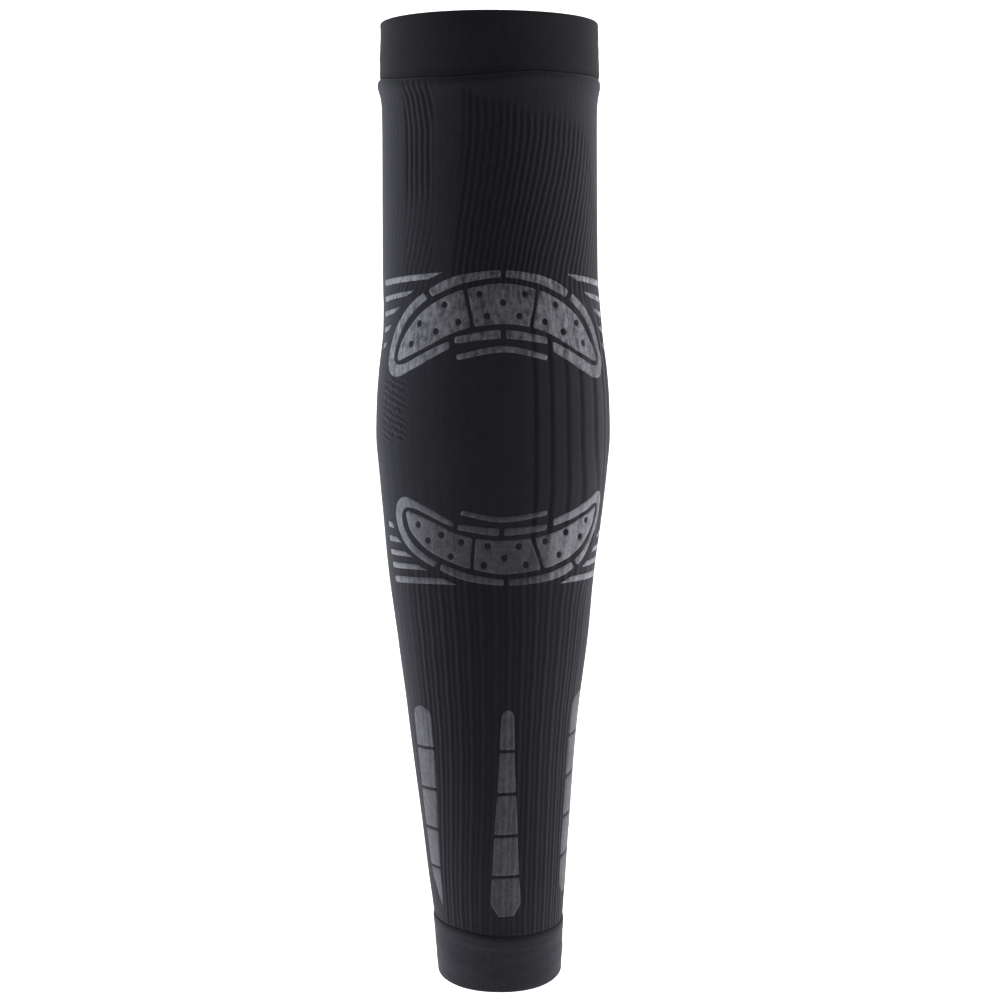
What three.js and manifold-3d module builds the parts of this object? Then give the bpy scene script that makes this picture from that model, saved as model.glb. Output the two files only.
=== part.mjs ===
// Arm compression sleeve: a ribbed knitted tube with a cuff at each end, and grey printed zones on the
// back of the elbow and forearm. Millimetres, +Z up. The origin is on the arm's axis at the elbow, the
// upper arm stands along Z, the back of the elbow looks along -Y, and the forearm leans towards +Y.

import * as THREE from "three";
import { mergeVertices } from "three/addons/utils/BufferGeometryUtils.js";
import Module from "manifold-3d";

const wasm = await Module();
wasm.setup();

// Lengths along the centre line
const UPPER_LENGTH = 171.5;
const FORE_LENGTH = 232;
const UPPER_CUFF_HEIGHT = 24.2;
const WRIST_CUFF_HEIGHT = 25;

// Widths from side to side, over the ribs
const ARM_WIDTH = 90.2;
const ELBOW_WIDTH = 98.2;
const WRIST_WIDTH = 52;

// The slight bend of the arm: how far below the elbow it starts, how far the wrist leans back,
// and how far the wrist stands to the side
const BEND_START = 54;
const WRIST_LEAN = 22;
const WRIST_SWAY = 3;

// Knit
const WALL = 1.6;
const RIB_COUNT = 48;
const RIB_DEPTH = 0.45;
const RIB_SWEEP = 20;
const CUFF_WALL = 2.2;
const CUFF_PROUD = 0.45;
const CUFF_ROUND = 0.9;
const SEAM_GAP = 0.3;

// Printed zones: how they stand on the ribs
const ZONE_GAP = 0.35;
const ZONE_THICKNESS = 0.5;
const DOT_WIDTH = 2.7;
const STRIPE_WIDTH = 2.1;

// Where the middle of the zones lies round the arm, in degrees from -Y towards +X, and how far the
// zones tilt on the forearm, up on the +X side
const ZONE_MIDDLE = 6.6;
const ZONE_TILT = 2.6;
const ZONE_TILT_FULL = 140;

// Crescents: distance of the outer edge from the elbow, and height from that edge towards the elbow
const UPPER_CRESCENT = 65.2;
const UPPER_CRESCENT_HEIGHT = 43.4;
const LOWER_CRESCENT = 62.9;
const LOWER_CRESCENT_HEIGHT = 36;

// Patch over the point of the elbow where the ribs fade out
const PLAIN_PATCH = 80;
const PLAIN_FADE = 15;

// Bars on the forearm
const BAR_PITCH = 17.6;
const BAR_COUNT = 5;
const BAR_GAP = 1.3;
const BAR_CUFF_CLEARANCE = 9.2;

// Facets
const BODY_ROWS = 20;
const HOLLOW_COLUMNS = 48;
const HOLLOW_ROWS = 12;
const CUFF_COLUMNS = 48;
const ZONE_STEP = 8;
const BAR_STEPS = 2;
const LOOP_STEPS = 14;
const DOT_SIDES = 8;

// The arm's sections. at: share of the length, -1 at the top rim, 0 at the elbow, 1 at the wrist rim.
// full: 0 for the width at that end, 1 for the elbow's width. depth: depth over width.
// sway: share of the wrist's step to the side.
const SECTIONS = [
  { at: -1.0, full: 0.06, depth: 1.0, sway: -0.45 },
  { at: -0.88, full: 0.12, depth: 1.0, sway: -0.43 },
  { at: -0.84, full: 0.16, depth: 1.0, sway: -0.43 },
  { at: -0.78, full: 0.03, depth: 1.01, sway: -0.42 },
  { at: -0.7, full: 0.0, depth: 1.01, sway: -0.4 },
  { at: -0.4, full: 0.01, depth: 1.01, sway: -0.32 },
  { at: -0.25, full: 0.22, depth: 0.98, sway: 0.02 },
  { at: -0.15, full: 0.7, depth: 0.96, sway: 0.06 },
  { at: -0.08, full: 0.92, depth: 0.95, sway: 0.07 },
  { at: 0.0, full: 1.0, depth: 0.94, sway: 0.07 },
  { at: 0.07, full: 0.945, depth: 0.94, sway: 0.07 },
  { at: 0.14, full: 0.872, depth: 0.95, sway: 0.03 },
  { at: 0.25, full: 0.745, depth: 0.96, sway: -0.15 },
  { at: 0.38, full: 0.59, depth: 0.97, sway: 0.05 },
  { at: 0.5, full: 0.432, depth: 0.97, sway: 0.06 },
  { at: 0.72, full: 0.213, depth: 0.96, sway: 0.45 },
  { at: 0.81, full: 0.136, depth: 0.95, sway: 0.65 },
  { at: 0.89, full: 0.062, depth: 0.94, sway: 0.83 },
  { at: 1.0, full: 0.0, depth: 0.93, sway: 1.0 },
];

// The two crescents, one above and one below the elbow, are one drawing turned over.
// edge: distance of the outer edge below the elbow. height: from that edge towards the elbow.
// tip: how much longer the tips are drawn out, as a share of the height.
// left and right: how far the tips reach round the arm, in degrees, and ease: how much further half way
// on the right. drift: the middle line's turn at the outer edge, half way and at the tips.
const CRESCENTS = [
  {
    name: "upper",
    edge: -UPPER_CRESCENT,
    height: UPPER_CRESCENT_HEIGHT,
    tip: 0,
    left: 71.5,
    right: 66.8,
    ease: 0,
    drift: [0.2, -1.1, -0.5],
  },
  {
    name: "lower",
    edge: LOWER_CRESCENT,
    height: -LOWER_CRESCENT_HEIGHT,
    tip: 0.06,
    left: 66.3,
    right: 69.3,
    ease: 4,
    drift: [1.7, -1.8, 0],
  },
];

// Curves of a crescent. round: share of the reach from the middle line. toward: share of the height.
const RIM_OUTER = [
  { round: 0.0, toward: 0.0 },
  { round: 0.28, toward: 0.036 },
  { round: 0.43, toward: 0.088 },
  { round: 0.57, toward: 0.172 },
];
const RIM_INNER = [
  { round: 0.0, toward: 0.069 },
  { round: 0.28, toward: 0.119 },
  { round: 0.41, toward: 0.175 },
  { round: 0.54, toward: 0.243 },
];
const PANEL_OUTER = [
  { round: 0.0, toward: 0.125 },
  { round: 0.29, toward: 0.182 },
  { round: 0.455, toward: 0.26 },
  { round: 0.61, toward: 0.369 },
  { round: 0.74, toward: 0.515 },
  { round: 0.83, toward: 0.66 },
  { round: 0.866, toward: 0.81 },
];
const PANEL_INNER = [
  { round: 0.0, toward: 0.507 },
  { round: 0.22, toward: 0.536 },
  { round: 0.38, toward: 0.597 },
  { round: 0.55, toward: 0.7 },
  { round: 0.7, toward: 0.779 },
  { round: 0.845, toward: 0.838 },
];
const BAND_OUTER = [
  { round: 0.0, toward: 0.561 },
  { round: 0.35, toward: 0.625 },
];
const BAND_INNER = [
  { round: 0.0, toward: 0.646 },
  { round: 0.35, toward: 0.69 },
];
const STRIP_OUTER = [
  { round: 0.0, toward: 0.714 },
  { round: 0.34, toward: 0.795 },
];
const STRIP_INNER = [
  { round: 0.0, toward: 0.774 },
  { round: 0.33, toward: 0.847 },
];

// The loop round a crescent's tip, along its outer and its inner edge
const LOOP = [
  { outer: { round: 0.615, toward: 0.2 }, inner: { round: 0.575, toward: 0.262 } },
  { outer: { round: 0.738, toward: 0.3 }, inner: { round: 0.68, toward: 0.35 } },
  { outer: { round: 0.866, toward: 0.45 }, inner: { round: 0.8, toward: 0.49 } },
  { outer: { round: 0.957, toward: 0.62 }, inner: { round: 0.885, toward: 0.66 } },
  { outer: { round: 0.992, toward: 0.8 }, inner: { round: 0.905, toward: 0.8 } },
  { outer: { round: 0.955, toward: 0.94 }, inner: { round: 0.865, toward: 0.868 } },
  { outer: { round: 0.83, toward: 0.995 }, inner: { round: 0.765, toward: 0.862 } },
  { outer: { round: 0.66, toward: 0.93 }, inner: { round: 0.64, toward: 0.797 } },
  { outer: { round: 0.5, toward: 0.83 }, inner: { round: 0.5, toward: 0.719 } },
  { outer: { round: 0.385, toward: 0.757 }, inner: { round: 0.39, toward: 0.662 } },
];

// Where the dotted panels part, and the dots' places
const PANEL_SPLIT = { outer: 0.277, inner: 0.219 };
const SPLIT_GAP = 0.028;
const MIDDLE_GAP = 0.02;
const SIDE_DOTS = [
  { round: 0.431, toward: 0.316 },
  { round: 0.329, toward: 0.479 },
  { round: 0.498, toward: 0.569 },
  { round: 0.644, toward: 0.488 },
  { round: 0.709, toward: 0.67 },
];
const MIDDLE_DOTS = [
  { round: -0.171, toward: 0.225 },
  { round: 0.171, toward: 0.225 },
  { round: 0.0, toward: 0.305 },
  { round: -0.122, toward: 0.43 },
  { round: 0.122, toward: 0.43 },
];

// The stripes beside a crescent. point: how long the pointed start is, as a share of the reach.
// from and to: the toward shares at the start and the end.
const STRIPES = [
  { point: 0.12, from: 0.045, to: 0.08 },
  { point: 0.09, from: 0.22, to: 0.225 },
  { point: 0.08, from: 0.36, to: 0.37 },
  { point: 0.06, from: 0.52, to: 0.525 },
  { point: 0.03, from: 0.675, to: 0.68 },
];

// The round shares where the stripes start and where they all end
const STRIPE_STARTS = {
  upper: { left: [0.45, 0.71, 0.87, 0.99, 1.06], right: [0.56, 0.77, 0.92, 1.02, 1.08] },
  lower: { left: [0.43, 0.69, 0.82, 0.93, 1.03], right: [0.42, 0.69, 0.9, 1.03, 1.08] },
};
const STRIPE_END = 1.145;

// The bars. at: share of the row of bars. In degrees, drift: the turn of all three from the zones' middle
// line, half: half the middle bar, inner and outer: the side bars' two edges.
const BARS = [
  { at: 0.0, drift: 3.4, half: 2.6, inner: 59, outer: 71 },
  { at: 0.03, drift: 3.3, half: 4.2, inner: 55, outer: 75 },
  { at: 0.2, drift: 3.1, half: 5.3, inner: 54.8, outer: 75.5 },
  { at: 0.4, drift: 2.5, half: 6.9, inner: 56, outer: 75.8 },
  { at: 0.6, drift: 1.6, half: 9.1, inner: 58, outer: 75.8 },
  { at: 0.8, drift: 0.9, half: 11.0, inner: 60, outer: 75 },
  { at: 0.93, drift: 0.5, half: 12.5, inner: 63, outer: 73.5 },
  { at: 1.0, drift: 0.5, half: 6.6, inner: 66, outer: 70 },
];

const degrees = THREE.MathUtils.degToRad;
const clamp = THREE.MathUtils.clamp;
const lerp = THREE.MathUtils.lerp;
const smoothstep = THREE.MathUtils.smoothstep;

// A smooth curve through a table's rows that never overshoots them and starts out level
function follow(table, along, value, x) {
  const last = table.length - 1;
  const rise = table.map((row, i) =>
    i < last ? (table[i + 1][value] - row[value]) / (table[i + 1][along] - row[along]) : 0
  );
  const slope = table.map((row, i) => {
    if (i === 0) return 0;
    if (i === last) return rise[last - 1];
    if (rise[i - 1] * rise[i] <= 0) return 0;
    return (2 * rise[i - 1] * rise[i]) / (rise[i - 1] + rise[i]);
  });
  const place = clamp(x, table[0][along], table[last][along]);
  let i = 0;
  while (i < last - 1 && place > table[i + 1][along]) i++;
  const span = table[i + 1][along] - table[i][along];
  const t = (place - table[i][along]) / span;
  const start = table[i][value] + t * t * (3 - 2 * t) * (table[i + 1][value] - table[i][value]);
  const bend = t * (1 - t) * span * ((1 - t) * slope[i] - t * slope[i + 1]);
  return start + bend;
}

// The arm at a distance below the elbow: half width, half depth, centre and lean
function armAt(down) {
  const at = down < 0 ? down / UPPER_LENGTH : down / FORE_LENGTH;
  const end = down < 0 ? ARM_WIDTH : WRIST_WIDTH;
  const halfWidth = lerp(end, ELBOW_WIDTH, follow(SECTIONS, "at", "full", at)) / 2;
  const halfDepth = halfWidth * follow(SECTIONS, "at", "depth", at);
  const bendRadius = (FORE_LENGTH - BEND_START) / degrees(WRIST_LEAN);
  const past = Math.max(down - BEND_START, 0);
  const lean = past / bendRadius;
  const centre = new THREE.Vector3(
    WRIST_SWAY * follow(SECTIONS, "at", "sway", at),
    bendRadius * (1 - Math.cos(lean)),
    -Math.min(down, BEND_START) - bendRadius * Math.sin(lean)
  );
  return { halfWidth, halfDepth, centre, lean };
}

// A point of the sleeve, out millimetres off the ribs' crests
function onSleeve(angle, down, out) {
  const { halfWidth, halfDepth, centre, lean } = armAt(down);
  const turn = degrees(angle);
  const normal = new THREE.Vector2(Math.sin(turn) / halfWidth, Math.cos(turn) / halfDepth).normalize();
  const across = halfWidth * Math.sin(turn) + out * normal.x;
  const back = halfDepth * Math.cos(turn) + out * normal.y;
  return new THREE.Vector3(across, -back * Math.cos(lean), -back * Math.sin(lean)).add(centre);
}

// The same with the zones' own angle and tilt
function onZone(angle, down, out) {
  const tilt = ZONE_TILT * clamp(down / ZONE_TILT_FULL, 0, 1);
  return onSleeve(angle + ZONE_MIDDLE, down - tilt * Math.sin(degrees(angle)), out);
}

// How deep the ribs are: flat in a panel of the upper arm and over the point of the elbow
function ribRelief(angle, down) {
  const upperPanel = smoothstep(angle, -40, -32) * (1 - smoothstep(angle, -19, -11));
  const aboveElbow = 1 - smoothstep(down, -UPPER_CRESCENT - PLAIN_FADE, -UPPER_CRESCENT);
  const elbowPanel = smoothstep(angle, -85, -75) * (1 - smoothstep(angle, 13, 20));
  const roundElbow = 1 - smoothstep(Math.abs(down), PLAIN_PATCH / 2 - PLAIN_FADE, PLAIN_PATCH / 2);
  return 1 - Math.max(upperPanel * aboveElbow, elbowPanel * roundElbow);
}

// How far the ribs have turned round the arm: they sweep across the upper arm towards the elbow
function ribTurn(down) {
  return -RIB_SWEEP * smoothstep(down, -0.76 * UPPER_LENGTH, -0.2 * UPPER_LENGTH);
}

// Closed body from points and triangles, turned so that its faces point out
function closedBody(points, triangles) {
  let volume = 0;
  for (const [a, b, c] of triangles) {
    volume += points[a].dot(new THREE.Vector3().crossVectors(points[b], points[c]));
  }
  const facing = volume < 0 ? triangles.map(([a, b, c]) => [a, c, b]) : triangles;
  const geometry = new THREE.BufferGeometry().setFromPoints(points);
  geometry.setIndex(facing.flat());
  return geometry;
}

// Grid of points, row after row; wraps round its columns, its rows or neither
function gridTriangles(rows, columns, wrapRows, wrapColumns, first = 0) {
  const triangles = [];
  const at = (i, j) => first + (i % rows) * columns + (j % columns);
  for (let i = 0; i < rows - (wrapRows ? 0 : 1); i++) {
    for (let j = 0; j < columns - (wrapColumns ? 0 : 1); j++) {
      triangles.push([at(i, j), at(i + 1, j), at(i + 1, j + 1)]);
      triangles.push([at(i, j), at(i + 1, j + 1), at(i, j + 1)]);
    }
  }
  return triangles;
}

// A tube's skin with both ends capped
function cappedTube(rows, columns, point) {
  const points = [];
  for (let i = 0; i < rows; i++) {
    for (let j = 0; j < columns; j++) points.push(point(i / (rows - 1), j));
  }
  const triangles = gridTriangles(rows, columns, false, true);
  for (const i of [0, rows - 1]) {
    const ring = points.slice(i * columns, (i + 1) * columns);
    const middle = ring.reduce((sum, p) => sum.add(p), new THREE.Vector3()).divideScalar(columns);
    points.push(middle);
    for (let j = 0; j < columns; j++) {
      const here = i * columns + j;
      const next = i * columns + ((j + 1) % columns);
      triangles.push(i === 0 ? [points.length - 1, here, next] : [points.length - 1, next, here]);
    }
  }
  return closedBody(points, triangles);
}

// A ring whose wall has one closed profile of { down, out } corners
function ring(profile, columns) {
  const points = profile.flatMap(({ down, out }) =>
    Array.from({ length: columns }, (_, j) => onSleeve((360 * j) / columns, down, out))
  );
  return closedBody(points, gridTriangles(profile.length, columns, true, true));
}

// A thin plate on the sleeve between two edges: edge(t, side) gives the angle and the distance down
function plate(steps, across, place) {
  const points = [];
  for (const out of [ZONE_GAP, ZONE_GAP + ZONE_THICKNESS]) {
    for (let i = 0; i <= steps; i++) {
      for (let j = 0; j <= across; j++) {
        const { angle, down } = place(i / steps, j / across);
        points.push(onZone(angle, down, out));
      }
    }
  }
  const columns = across + 1;
  const layer = (steps + 1) * columns;
  const inner = gridTriangles(steps + 1, columns, false, false).map(([a, b, c]) => [a, c, b]);
  const outer = gridTriangles(steps + 1, columns, false, false, layer);
  const border = [];
  for (let j = 0; j < across; j++) border.push(j);
  for (let i = 0; i < steps; i++) border.push(i * columns + across);
  for (let j = across; j > 0; j--) border.push(steps * columns + j);
  for (let i = steps; i > 0; i--) border.push(i * columns);
  const sides = border.flatMap((here, k) => {
    const next = border[(k + 1) % border.length];
    return [[next, here, here + layer], [next, here + layer, next + layer]];
  });
  return closedBody(points, [...inner, ...outer, ...sides]);
}

function toSolid(geometry) {
  const bare = geometry.clone();
  bare.deleteAttribute("normal");
  bare.deleteAttribute("uv");
  const merged = mergeVertices(bare, 1e-5);
  return new wasm.Manifold(
    new wasm.Mesh({
      numProp: 3,
      vertProperties: Float32Array.from(merged.attributes.position.array),
      triVerts: Uint32Array.from(merged.index.array),
    })
  );
}

function toGeometry(solid) {
  const mesh = solid.getMesh();
  const geometry = new THREE.BufferGeometry();
  geometry.setAttribute("position", new THREE.BufferAttribute(Float32Array.from(mesh.vertProperties), 3));
  geometry.setIndex(Array.from(mesh.triVerts));
  return geometry;
}

// Finishes
const FINISHES = {
  knit: { color: 0x232129, roughness: 0.85, metalness: 0 },
  cuff: { color: 0x26242c, roughness: 0.8, metalness: 0 },
  zone: { color: 0x85838a, roughness: 0.75, metalness: 0 },
};

const sleeve = new THREE.Group();

function add(name, finish, geometry) {
  const mesh = new THREE.Mesh(geometry, new THREE.MeshStandardMaterial(FINISHES[finish]));
  mesh.name = name;
  sleeve.add(mesh);
}

// Body: a ribbed tube between the two cuffs, hollow from end to end
const bodyTop = -UPPER_LENGTH + UPPER_CUFF_HEIGHT + SEAM_GAP / 2;
const bodyEnd = FORE_LENGTH - WRIST_CUFF_HEIGHT - SEAM_GAP / 2;

function sleeveBody() {
  const columns = 2 * RIB_COUNT;
  const skin = cappedTube(BODY_ROWS + 1, columns, (t, j) => {
    const down = lerp(bodyTop, bodyEnd, t);
    const angle = (360 * j) / columns + ribTurn(down);
    const turned = THREE.MathUtils.euclideanModulo(angle + 180, 360) - 180;
    return onSleeve(angle, down, j % 2 === 0 ? 0 : -RIB_DEPTH * ribRelief(turned, down));
  });
  const hollow = cappedTube(HOLLOW_ROWS + 1, HOLLOW_COLUMNS, (t, j) => {
    const down = lerp(bodyTop, bodyEnd, t);
    const point = onSleeve((360 * j) / HOLLOW_COLUMNS, down, -WALL);
    const { lean } = armAt(down);
    const past = t === 0 ? -SEAM_GAP : t === 1 ? SEAM_GAP : 0;
    return point.add(new THREE.Vector3(0, Math.sin(lean), -Math.cos(lean)).multiplyScalar(past));
  });
  return toGeometry(toSolid(skin).subtract(toSolid(hollow)));
}
add("sleeve_body", "knit", sleeveBody());

// Cuffs: double bands, folded over and rounded at the rim
function cuff(rim, seam) {
  const inside = CUFF_PROUD - CUFF_WALL;
  const toSeam = Math.sign(seam - rim);
  const shoulder = rim + toSeam * CUFF_ROUND;
  return ring(
    [
      { down: seam, out: CUFF_PROUD * 0.4 },
      { down: seam - toSeam * CUFF_ROUND, out: CUFF_PROUD },
      { down: lerp(seam, rim, 0.5), out: CUFF_PROUD },
      { down: shoulder, out: CUFF_PROUD },
      { down: rim, out: CUFF_PROUD - CUFF_ROUND * 0.8 },
      { down: rim, out: inside + CUFF_ROUND * 0.6 },
      { down: shoulder, out: inside },
      { down: lerp(seam, rim, 0.5), out: inside },
      { down: seam, out: inside },
    ],
    CUFF_COLUMNS
  );
}
add("upper_cuff", "cuff", cuff(-UPPER_LENGTH, bodyTop - SEAM_GAP));
add("wrist_cuff", "cuff", cuff(FORE_LENGTH, bodyEnd + SEAM_GAP));

// Crescents
const SIDES = [
  { name: "left", sign: -1 },
  { name: "right", sign: 1 },
];

// A crescent's own coordinates to the angle and the distance down the sleeve
function onCrescent(crescent, round, toward) {
  const reach = round < 0 ? crescent.left : crescent.right;
  const ease = crescent.ease * Math.sin(Math.PI * clamp(round, 0, 1));
  const drift = crescent.drift.map((turn, i) => ({ toward: i / 2, turn }));
  return {
    angle: round * reach + ease + follow(drift, "toward", "turn", toward),
    down: crescent.edge + crescent.height * (toward + crescent.tip * toward ** 4),
  };
}

// A plate between two curves of a crescent, each from its own start to its own end
function crescentPlate(crescent, outer, inner, from, to, across) {
  const wide = Math.abs(to.outer - from.outer) * crescent.left;
  const steps = Math.max(2, Math.ceil(wide / ZONE_STEP));
  return plate(steps, across, (t, w) => {
    const outerRound = lerp(from.outer, to.outer, t);
    const innerRound = lerp(from.inner, to.inner, t);
    const outerToward = follow(outer, "round", "toward", Math.abs(outerRound));
    const innerToward = follow(inner, "round", "toward", Math.abs(innerRound));
    return onCrescent(crescent, lerp(outerRound, innerRound, w), lerp(outerToward, innerToward, w));
  });
}

// Round holes through a plate, square to the sleeve
function withDots(crescent, geometry, dots, sign) {
  let solid = toSolid(geometry);
  for (const dot of dots) {
    const { angle, down } = onCrescent(crescent, sign * dot.round, dot.toward);
    const low = onZone(angle, down, -ZONE_THICKNESS);
    const high = onZone(angle, down, ZONE_GAP + 2 * ZONE_THICKNESS);
    const pin = new THREE.CylinderGeometry(DOT_WIDTH / 2, DOT_WIDTH / 2, low.distanceTo(high), DOT_SIDES);
    const along = high.clone().sub(low).normalize();
    const upright = new THREE.Vector3(0, 1, 0);
    pin.applyQuaternion(new THREE.Quaternion().setFromUnitVectors(upright, along));
    pin.translate(...low.clone().add(high).multiplyScalar(0.5).toArray());
    solid = solid.subtract(toSolid(pin));
  }
  return toGeometry(solid);
}

for (const crescent of CRESCENTS) {
  const split = (gap) => ({ outer: PANEL_SPLIT.outer + gap / 2, inner: PANEL_SPLIT.inner + gap / 2 });
  const flip = ({ outer, inner }) => ({ outer: -outer, inner: -inner });
  const near = split(-SPLIT_GAP);
  const middle = crescentPlate(crescent, PANEL_OUTER, PANEL_INNER, flip(near), near, 2);
  add(`${crescent.name}_panel_middle`, "zone", withDots(crescent, middle, MIDDLE_DOTS, 1));
  const stripEnd = { outer: STRIP_OUTER.at(-1).round, inner: STRIP_INNER.at(-1).round };
  const strip = crescentPlate(crescent, STRIP_OUTER, STRIP_INNER, flip(stripEnd), stripEnd, 1);
  add(`${crescent.name}_strip`, "zone", strip);

  for (const { name, sign } of SIDES) {
    const signed = ({ outer, inner }) => (sign < 0 ? flip({ outer, inner }) : { outer, inner });
    const between = (outer, inner, start, across) => {
      const end = { outer: outer.at(-1).round, inner: inner.at(-1).round };
      return crescentPlate(crescent, outer, inner, signed(start), signed(end), across);
    };
    const panel = between(PANEL_OUTER, PANEL_INNER, split(SPLIT_GAP), 2);
    add(`${crescent.name}_panel_${name}`, "zone", withDots(crescent, panel, SIDE_DOTS, sign));
    const gap = { outer: MIDDLE_GAP, inner: MIDDLE_GAP };
    add(`${crescent.name}_rim_${name}`, "zone", between(RIM_OUTER, RIM_INNER, gap, 1));
    add(`${crescent.name}_band_${name}`, "zone", between(BAND_OUTER, BAND_INNER, gap, 1));

    const edges = ["outer", "inner"].map((edge) =>
      new THREE.SplineCurve(LOOP.map((row) => new THREE.Vector2(sign * row[edge].round, row[edge].toward)))
    );
    const loop = plate(LOOP_STEPS, 1, (t, w) => {
      const place = edges[0].getPoint(t).lerp(edges[1].getPoint(t), w);
      return onCrescent(crescent, place.x, place.y);
    });
    add(`${crescent.name}_loop_${name}`, "zone", loop);

    // Stripes: pointed at the crescent's end, along the crescent's own slope
    STRIPES.forEach(({ point, from, to }, k) => {
      const half = STRIPE_WIDTH / 2 / Math.abs(crescent.height);
      const start = STRIPE_STARTS[crescent.name][name][k];
      const steps = Math.max(1, Math.ceil(((STRIPE_END - start) * crescent.left) / ZONE_STEP));
      const stripe = plate(steps, 1, (t, w) => {
        const round = lerp(start + w * point, STRIPE_END, t);
        return onCrescent(crescent, sign * round, lerp(from, to, t) + lerp(-half, half, w));
      });
      add(`${crescent.name}_stripe_${name}_${k + 1}`, "zone", stripe);
    });
  }
}

// Bars: a row of plates down the middle and one down each side
const barsEnd = FORE_LENGTH - WRIST_CUFF_HEIGHT - BAR_CUFF_CLEARANCE;
const barsStart = barsEnd - BAR_PITCH * BAR_COUNT;
const BAR_EDGES = {
  left: (row) => [-row("outer"), -row("inner")],
  middle: (row) => [-row("half"), row("half")],
  right: (row) => [row("inner"), row("outer")],
};
for (const [name, edges] of Object.entries(BAR_EDGES)) {
  for (let k = 0; k < BAR_COUNT; k++) {
    const from = barsStart + k * BAR_PITCH + (k > 0 ? BAR_GAP / 2 : 0);
    const to = barsStart + (k + 1) * BAR_PITCH - (k < BAR_COUNT - 1 ? BAR_GAP / 2 : 0);
    const shapedEnd = k === 0 || k === BAR_COUNT - 1;
    const bar = plate(shapedEnd ? 2 * BAR_STEPS : BAR_STEPS, 2, (t, w) => {
      const down = lerp(from, to, t);
      const row = (column) => follow(BARS, "at", column, (down - barsStart) / (barsEnd - barsStart));
      const [low, high] = edges(row);
      return { angle: lerp(low, high, w) + row("drift"), down };
    });
    add(`bar_${name}_${k + 1}`, "zone", bar);
  }
}

export default sleeve;
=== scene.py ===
# Arm compression sleeve: a ribbed knit tube with two cuffs and printed grey zones. Metres, +Z up.
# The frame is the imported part's: the origin is on the arm's axis at the elbow, the upper arm stands
# along Z, the back of the elbow looks along -Y, and the forearm leans towards +Y.

import math

import bpy
import numpy as np
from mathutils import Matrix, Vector
from mathutils.geometry import delaunay_2d_cdt


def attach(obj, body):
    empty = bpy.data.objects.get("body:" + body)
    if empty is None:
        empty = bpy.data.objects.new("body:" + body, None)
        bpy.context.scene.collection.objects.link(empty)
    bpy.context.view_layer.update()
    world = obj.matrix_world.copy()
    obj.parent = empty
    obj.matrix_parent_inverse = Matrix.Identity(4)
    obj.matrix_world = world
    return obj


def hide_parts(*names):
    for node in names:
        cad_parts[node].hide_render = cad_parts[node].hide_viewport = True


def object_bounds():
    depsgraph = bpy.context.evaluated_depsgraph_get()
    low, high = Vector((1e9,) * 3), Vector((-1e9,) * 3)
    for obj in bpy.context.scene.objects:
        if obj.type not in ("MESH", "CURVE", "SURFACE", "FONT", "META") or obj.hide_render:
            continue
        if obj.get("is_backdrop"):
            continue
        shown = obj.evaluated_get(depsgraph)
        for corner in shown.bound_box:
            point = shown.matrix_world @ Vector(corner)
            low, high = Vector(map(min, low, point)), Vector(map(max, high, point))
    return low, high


# Lengths along the centre line
UPPER_LENGTH = 0.1715
FORE_LENGTH = 0.232
UPPER_CUFF_HEIGHT = 0.0242
WRIST_CUFF_HEIGHT = 0.025

# Widths from side to side, over the ribs
ARM_WIDTH = 0.0902
ELBOW_WIDTH = 0.0982
WRIST_WIDTH = 0.052

# The slight bend of the arm
BEND_START = 0.054
WRIST_LEAN = 22
WRIST_SWAY = 0.003

# Knit. The sweep's starts and end are shares of the upper length.
WALL = 0.0016
RIB_COUNT = 48
RIB_DEPTH = 0.00042
FAINT_RIB = 0.1
LEFT_LEAN = 4
LEFT_SWEEP = 16
LEFT_TURN = 1.5
PANEL_SWEEP = 7
SWEEP_START = -0.76
LATE_SWEEP_START = -0.57
SWEEP_END = -0.2
RIB_WOBBLE = 0.22
WOBBLE_LENGTH = 0.022
ELBOW_CALM = 0.8
LEAN_LENGTH = 0.026
ELBOW_DRIFT = 0.35
INNER_RIB = 0.3
SEAM_GAP = 0.0003
SEAM_ROLL = 0.0016
SEAM_DEPTH = 0.0004
# The painted shadow along the seams: its width, how dark it is painted on the knit and on the cuffs, and the
# stitches to a rib that break it up
SEAM_SHADE = 0.0018
SEAM_PAINTED_SHADOW = 2.2
CUFF_SEAM_PAINTED_SHADOW = 1.6
SEAM_STITCHES = 2
SEAM_REACH = 0.016
SEAM_WANDER = 0.002
SWELL = 0.0013
SWELL_PLACE = 0.0024
SWELL_LENGTH = 0.0035

# Cuffs
CUFF_WALL = 0.0022
CUFF_PROUD = 0.00045
FOLD_WIDTH = 0.0009
FOLD_HEIGHT = 0.00018
WRIST_FOLD = 0.0048
UPPER_FOLD = 0.0024
SOFTNESS = 0.00018

# Printed zones
ZONE_SEAT = 0.00003
ZONE_RISE = 0.00016
ZONE_EDGE = 0.0004
DOT_WIDTH = 0.0027
STRIPE_WIDTH = 0.00225
FIRST_STRIPE = 1.15
ZONE_MIDDLE = 6.6
ZONE_TILT = 0.0026
ZONE_TILT_FULL = 0.14
OUTLINE_STEP = 0.0005
CORNER_PASSES = 3

# Crescents: distance of the outer edge from the elbow, and height from that edge towards the elbow
UPPER_CRESCENT = 0.0652
UPPER_CRESCENT_HEIGHT = 0.0434
LOWER_CRESCENT = 0.0629
LOWER_CRESCENT_HEIGHT = 0.036

# The power that moves the crescents' ease out towards their tips
EASE_RISE = 1.4

# Patch over the point of the elbow where the ribs fade out
PLAIN_PATCH = 0.08
PLAIN_FADE = 0.015

# Bars on the forearm
BAR_PITCH = 0.0176
BAR_COUNT = 5
BAR_GAP = 0.0013
BAR_CUFF_CLEARANCE = 0.0092

# Mesh
RIB_STEPS = 10
BODY_ROWS = 164
INNER_ROWS = 24
CUFF_COLUMNS = 384
ZONE_ROW = 0.0012
ZONE_CLEAR = 0.00035
DOT_SIDES = 20

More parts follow.
